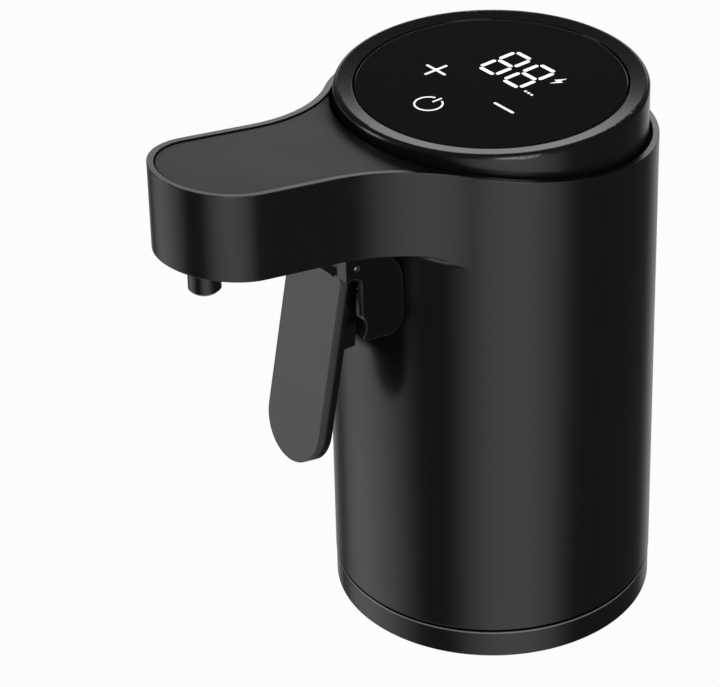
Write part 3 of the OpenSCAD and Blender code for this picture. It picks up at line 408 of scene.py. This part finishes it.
def flatCable(start):
    where = placeOf(start)
    lines = start.make("ShaderNodeTexWave", {"wave_profile": "SIN", "bands_direction": "X"}, {
        "Vector": where, "Scale": ribbonLook["waveScale"] / ribbonLook["pitch"], "Distortion": 0.0}, "Fac")
    cloud = noise(where, ribbonLook["cloud"], 3.0)
    copper = start.maths("GREATER_THAN", lines, ribbonLook["copperFrom"])
    return principled(start, {
        "Base Color": copper.blend(ribbonLook["film"], ribbonLook["copper"]),
        "Roughness": ribbonLook["rough"] + cloud * ribbonLook["cloudRough"],
        "Normal": bumped(lines, ribbonLook["depth"]),
    })


# shrunk sleeve of the cell: thin, glossy, with fine ripples round it
sleeveLook = {"low": (0.03, 0.09, 0.17, 1.0), "high": (0.045, 0.12, 0.22, 1.0), "ripple": 1.1,
              "stretch": (0.35, 0.35, 1.6), "rippleShare": 0.8, "rough": 0.24, "rippleRough": 0.18,
              "depth": 0.02, "edge": 0.2}


def shrinkSleeve(start):
    ripple = noise(vectorMaths("MULTIPLY", placeOf(start), sleeveLook["stretch"]), sleeveLook["ripple"], 3.0)
    rounded, edge = edgeOf(start, sleeveLook["edge"])
    return principled(start, {
        "Base Color": weighed(ripple, edge, sleeveLook["rippleShare"]).blend(sleeveLook["low"], sleeveLook["high"]),
        "Roughness": sleeveLook["rough"] + ripple * sleeveLook["rippleRough"],
        "Normal": bumped(ripple, sleeveLook["depth"], rounded),
    })


# clear food-grade hose: milky wall that scatters a little
hoseLook = {"low": (0.60, 0.62, 0.62, 1.0), "high": (0.74, 0.75, 0.74, 1.0), "clear": 0.55, "fleck": 0.8,
            "rough": 0.22, "milkRough": 0.12, "ior": 1.41, "depth": 0.006}


def clearHose(start):
    milk = noise(placeOf(start), hoseLook["fleck"], 3.0)
    return principled(start, {
        "Base Color": milk.blend(hoseLook["low"], hoseLook["high"]),
        "Roughness": hoseLook["rough"] + milk * hoseLook["milkRough"],
        "Transmission Weight": hoseLook["clear"],
        "IOR": hoseLook["ior"],
        "Normal": bumped(milk, hoseLook["depth"]),
    })


# lit marks of the display: soft white, slightly uneven
lampLook = {"low": (0.86, 0.89, 0.93, 1.0), "high": (1.0, 1.0, 1.0, 1.0), "glow": 0.9, "fleck": 1.4,
            "rough": 0.4, "fleckRough": 0.1}


def litMark(start):
    even = noise(placeOf(start), lampLook["fleck"], 1.0)
    tint = even.blend(lampLook["low"], lampLook["high"])
    return principled(start, {
        "Base Color": tint,
        "Roughness": lampLook["rough"] + even * lampLook["fleckRough"],
        "Emission Color": tint,
        "Emission Strength": lampLook["glow"],
    })


finishes = {name: moulded(look) for name, look in mouldings.items()}
finishes.update({name: rubber(look) for name, look in rubbers.items()})
finishes.update({name: drawnSteel(look) for name, look in steels.items()})
finishes.update({
    "display_black": touchGlass,
    "board_green": circuitBoard,
    "foam_grey": openFoam,
    "ribbon_amber": flatCable,
    "cell_sleeve": shrinkSleeve,
    "hose_clear": clearHose,
    "lamp_white": litMark,
})
materials = {name: newMaterial(name, build) for name, build in finishes.items()}
print("finishes made:", len(materials))

# which finish each solid of the frame wears
wear = {
    "housing_black": ["main_housing"],
    "nozzle_black": ["nozzle"],
    "bracket_black": ["trigger_bracket"],
    "base_black": ["base_cup"],
    "cover_black": ["arm_cover"],
    "bezel_black": ["display_bezel"],
    "display_black": ["display_glass"],
    "foam_grey": ["display_spacer", "touch_pads"],
    "board_green": ["display_board", "control_board"],
    "lamp_white": ["digit_module"],
    "ribbon_amber": ["display_ribbon"],
    "chip_black": ["board_chips", "micro_switch"],
    "steel": ["board_screws", "charge_port", "pump_motor", "motor_shaft", "base_screws"],
    "pin_steel": ["pivot_pin"],
    "cell_sleeve": ["battery_cell"],
    "frame_grey": ["cell_cradle"],
    "pump_black": ["pump_crankcase", "valve_cover"],
    "silicone": ["pump_diaphragm", "grip_liner", "lip_gasket"],
    "hose_clear": ["air_hose", "wine_hose"],
    "valve_white": ["check_valve", "inlet_fitting"],
    "seal_red": ["port_seals", "nozzle_gasket"],
    "lever_black": ["trigger_lever"],
    "trigger_grey": ["trigger_face"],
    "plunger_cream": ["switch_plunger"],
}
for finish, names in wear.items():
    for name in names:
        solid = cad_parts[name].data
        solid.materials.clear()
        solid.materials.append(materials[finish])
print("solids dressed:", sum(len(names) for names in wear.values()))


def newObject(name, mesh, material):
    shape = bpy.data.meshes.new(name)
    mesh.to_mesh(shape)
    mesh.free()
    shape.materials.append(material)
    made = bpy.data.objects.new(name, shape)
    bpy.context.collection.objects.link(made)
    return made


def newPiece(name, mesh, finish):
    piece = newObject(name, mesh, materials[finish])
    return piece


# return spring between the bracket's web and the trigger, wound along -Y (mm)
springLook = {
    "start": -18.43,
    "end": -21.55,
    "height": 46.275,
    "radius": 1.85,
    "wire": 0.4,
    "turns": 3.0,
    "dead": 0.5,  # turns that lie flat at each end
    "steps": 40,
    "sides": 12,
    "keep": 0.51,  # share of its length left when the trigger is pulled
}


def springPath(look):
    half = look["wire"] / 2
    run = abs(look["end"] - look["start"]) - look["wire"]
    total = look["turns"] + 2 * look["dead"]
    count = int(total * look["steps"])
    for step in range(count + 1):
        turn = total * step / count
        along = min(max((turn - look["dead"]) / look["turns"], 0.0), 1.0)
        angle = 2 * math.pi * turn
        yield Vector((look["radius"] * math.cos(angle), look["start"] - half - run * along,
                      look["height"] + look["radius"] * math.sin(angle))) * mm


def wireRing(mesh, path, step, look):  # one ring of points round the wire
    ahead = (path[min(step + 1, len(path) - 1)] - path[max(step - 1, 0)]).normalized()
    outward = Vector((path[step].x, 0, path[step].z - look["height"] * mm)).normalized()
    across = ahead.cross(outward).normalized()
    outward = across.cross(ahead)
    ring = []
    for side in range(look["sides"]):
        angle = 2 * math.pi * side / look["sides"]
        around = outward * math.cos(angle) + across * math.sin(angle)
        ring.append(mesh.verts.new(path[step] + around * look["wire"] / 2 * mm))
    return ring


def addSpring(look):
    mesh = bmesh.new()
    path = list(springPath(look))
    rings = [wireRing(mesh, path, step, look) for step in range(len(path))]
    for near, far in zip(rings, rings[1:]):
        for side in range(look["sides"]):
            after = (side + 1) % look["sides"]
            mesh.faces.new((near[side], near[after], far[after], far[side])).smooth = True
    mesh.faces.new(list(reversed(rings[0])))
    mesh.faces.new(rings[-1])
    bmesh.ops.recalc_face_normals(mesh, faces=mesh.faces)
    spring = newPiece("wound_spring", mesh, "spring_steel")
    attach(spring, "pourer")
    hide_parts("return_spring")
    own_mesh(spring)


addSpring(springLook)
print("return spring wound")

# marks that shine through the glass, in plan on its top face (mm): numbers and plain signs only
markLook = {
    "stroke": 0.32,
    "lift": 0.004,
    "thick": 0.02,
    "weld": 0.0001,
    "turn": 2.5,
    "plus": {"at": (-5.76, -2.97), "length": 3.15},
    "minus": {"at": (5.5, -2.63), "length": 3.1},
    "power": {"at": (-0.19, -8.23), "radius": 1.5, "gap": 21, "bar": (0.65, 1.75), "stroke": 0.2},
    "digits": {"at": [(-2.3, 3.75), (1.6, 3.9)], "width": 2.5, "height": 5.25, "stroke": 0.5, "gap": 0.84,
               "gapUp": 1.06},
    "bolt": {"at": (4.45, 5.6), "size": 1.0, "corners": [
        (0.16, 1.0), (-0.5, -0.14), (-0.04, -0.14), (-0.2, -1.0), (0.5, 0.18), (0.05, 0.18)]},
    "level": {"at": (4.55, 1.46), "pitch": 0.5, "dot": 0.16, "flat": 0.01},
}


def roundBar(start, end, width, steps=8):
    start, end = Vector(start), Vector(end)
    heading = math.atan2(end.y - start.y, end.x - start.x)
    points = []
    for centre, first in ((end, heading - math.pi / 2), (start, heading + math.pi / 2)):
        for step in range(steps + 1):
            angle = first + math.pi * step / steps
            points.append(centre + Vector((math.cos(angle), math.sin(angle))) * width / 2)
    return points


def arcBand(centre, radius, width, first, last, steps=48):
    inner, outer = [], []
    for step in range(steps + 1):
        angle = math.radians(first + (last - first) * step / steps)
        along = Vector((math.cos(angle), math.sin(angle)))
        inner.append(Vector(centre) + along * (radius - width / 2))
        outer.append(Vector(centre) + along * (radius + width / 2))
    return [[outer[step], outer[step + 1], inner[step + 1], inner[step]] for step in range(steps)]


def turned(outlines, centre):
    spin = Matrix.Rotation(math.radians(markLook["turn"]), 2)
    middle = Vector(centre)
    return [[spin @ (point - middle) + middle for point in outline] for outline in outlines]


def addMark(name, outlines):
    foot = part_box("display_glass")[1].z + markLook["lift"] * mm
    mesh = bmesh.new()
    for outline in outlines:
        face = mesh.faces.new([mesh.verts.new((point.x * mm, point.y * mm, foot)) for point in outline])
        raised = bmesh.ops.extrude_face_region(mesh, geom=[face])["geom"]
        for vert in (part for part in raised if isinstance(part, bmesh.types.BMVert)):
            vert.co.z += markLook["thick"] * mm
    bmesh.ops.remove_doubles(mesh, verts=mesh.verts, dist=markLook["weld"] * mm)
    bmesh.ops.recalc_face_normals(mesh, faces=mesh.faces)
    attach(newPiece(name, mesh, "lamp_white"), "pourer")


def addStroke(name, look, way):
    reach = Vector(way) * (look["length"] - markLook["stroke"]) / 2
    bar = roundBar(Vector(look["at"]) - reach, Vector(look["at"]) + reach, markLook["stroke"])
    addMark(name, turned([bar], look["at"]))


def addPower(look):
    ring = arcBand(look["at"], look["radius"], look["stroke"], 90 + look["gap"], 450 - look["gap"])
    low, high = [Vector(look["at"]) + Vector((0, end)) for end in look["bar"]]
    addMark("power_sign", turned(ring + [roundBar(low, high, look["stroke"])], look["at"]))


def digitBars(look):
    across, up, gap, gapUp = [look[key] / 2 for key in ("width", "height", "gap", "gapUp")]
    for level in (-up, 0, up):
        yield (-across + gap, level), (across - gap, level)
    for side in (-across, across):
        yield (side, gapUp), (side, up - gapUp)
        yield (side, -up + gapUp), (side, -gapUp)


def addDigits(look):
    for number, centre in enumerate(look["at"]):
        middle = Vector(centre)
        bars = [roundBar(middle + Vector(first), middle + Vector(last), look["stroke"])
                for first, last in digitBars(look)]
        addMark("digit_%d" % (number + 1), turned(bars, centre))


def addBolt(look):
    addMark("charge_sign", [[Vector(look["at"]) + Vector(corner) * look["size"] for corner in look["corners"]]])


def addLevel(look):
    dots = []
    flat = Vector((look["flat"], 0))
    for place in (-1, 0, 1):
        middle = Vector(look["at"]) + Vector((place * look["pitch"], 0))
        dots.append(roundBar(middle - flat, middle + flat, look["dot"] * 2))
    addMark("level_dots", dots)


addStroke("plus_sign", markLook["plus"], (1, 0))
addStroke("plus_sign_upright", markLook["plus"], (0, 1))
addStroke("minus_sign", markLook["minus"], (1, 0))
addPower(markLook["power"])
addDigits(markLook["digits"])
addBolt(markLook["bolt"])
addLevel(markLook["level"])
print("display marks lit")

# studio: pale floor, three soft boxes and a room of plain tones (degrees, metres)
studio = {
    "floorTone": 0.8,
    "floorShades": (0.98, 1.02),
    "floorFleck": 25.0,  # mm
    "floorDrop": 0.02,  # mm under the object
    "floorSize": 8.0,
    "floorCells": 8,
    "white": 0.97,
    "middle": (0.0, -0.008, 0.033),
    "wallTone": 0.08,
    "ceilingTone": 0.12,
    "ceiling": (38, 62),  # elevations between which walls turn into ceiling
    "paperTone": 0.06,
    "paper": (8, -6),  # elevations between which walls turn into paper
    "pools": [  # where the paper below shines in the object's sheen
        {"azimuth": 66.5, "half": 44, "share": 0.94},
        {"azimuth": -44, "half": 42, "share": 0.78},
        {"azimuth": 228, "half": 38, "share": 0.6},
    ],
}
lamps = {
    "rightBox": {"azimuth": 72, "elevation": 20, "distance": 0.5, "size": (0.24, 0.40), "glow": 4.4},
    "leftBox": {"azimuth": -38, "elevation": 12, "distance": 0.5, "size": (0.16, 0.30), "glow": 4.0},
    "backBox": {"azimuth": -131, "elevation": 17, "distance": 0.6, "size": (0.5, 0.13), "glow": 1.68},
}


def isRay(start, kind):
    return start.make("ShaderNodeLightPath", out="Is %s Ray" % kind)


def seenStraight(start):  # by the camera, or through clear pieces
    return isRay(start, "Camera") + isRay(start, "Transmission")


def paleFloor(start):
    fleck = noise(placeOf(start), studio["floorFleck"], 3.0)
    lit = principled(start, {
        "Base Color": mottled(fleck, studio["floorTone"], studio["floorShades"]),
        "Roughness": 1.0,
        "Specular IOR Level": 0.0,
    })
    glow = start.make("ShaderNodeEmission", None, {"Color": rgb(1.0), "Strength": 1.0})
    top = mixedShader(seenStraight(start) * studio["white"], lit, glow)
    clear = start.make("ShaderNodeBsdfTransparent", None, {"Color": rgb(1.0)})
    return mixedShader(isRay(start, "Glossy"), top, clear)  # mirrored rays see the pools below


def addFloor():
    mesh = bmesh.new()
    cells = studio["floorCells"]
    bmesh.ops.create_grid(mesh, x_segments=cells, y_segments=cells, size=studio["floorSize"] / 2)
    floor = newObject("floor", mesh, newMaterial("pale_floor", paleFloor))
    floor.location.z = cadBox[0][2] - studio["floorDrop"] * mm


def addLamp(name, look):
    lamp = bpy.data.lights.new(name, "AREA")
    lamp.shape = "RECTANGLE"
    lamp.size, lamp.size_y = look["size"]
    lamp.energy = look["glow"] * math.pi * look["size"][0] * look["size"][1]
    box = bpy.data.objects.new(name, lamp)
    away = directionAt(look["azimuth"], look["elevation"])
    place = Matrix.Translation(Vector(studio["middle"]) + away * look["distance"])
    box.matrix_world = place @ away.to_track_quat("Z", "Y").to_matrix().to_4x4()
    box.visible_camera = False
    bpy.context.collection.objects.link(box)


def poolShine(toward):  # paper tone, with a lobe of light round each pool's bearing
    outward = vectorMaths("NORMALIZE", vectorMaths("MULTIPLY", toward, (1, 1, 0)))
    shine = studio["paperTone"]
    for pool in studio["pools"]:
        facing = vectorMaths("DOT_PRODUCT", outward, directionAt(pool["azimuth"], 0), "Value")
        lobe = ramp(facing, math.cos(math.radians(pool["half"])), 1.0, "LINEAR")
        shine = lobe * pool["share"] + shine
    return shine.blend(rgb(0.0), rgb(1.0))


def addWorld():
    world = bpy.data.worlds.new("studio")
    bpy.context.scene.world = world
    world.use_nodes = True
    world.node_tree.nodes.clear()
    start = Wire(world.node_tree)
    toward = start.make("ShaderNodeTexCoord", out="Generated")
    height = heightOf(toward)
    ceiling, below = [ramp(height, *[math.sin(math.radians(angle)) for angle in studio[key]])
                      for key in ("ceiling", "paper")]
    room = ceiling.blend(rgb(studio["wallTone"]), rgb(studio["ceilingTone"]))
    around = below.blend(room, poolShine(toward))
    colour = seenStraight(start).blend(around, rgb(1.0))
    sky = start.make("ShaderNodeBackground", None, {"Color": colour, "Strength": 1.0})
    sky.make("ShaderNodeOutputWorld", None, {"Surface": sky})


addFloor()
for lampName, lampFacts in lamps.items():
    addLamp(lampName, lampFacts)
addWorld()
bpy.context.scene.view_settings.view_transform = "Standard"
print("studio lit")
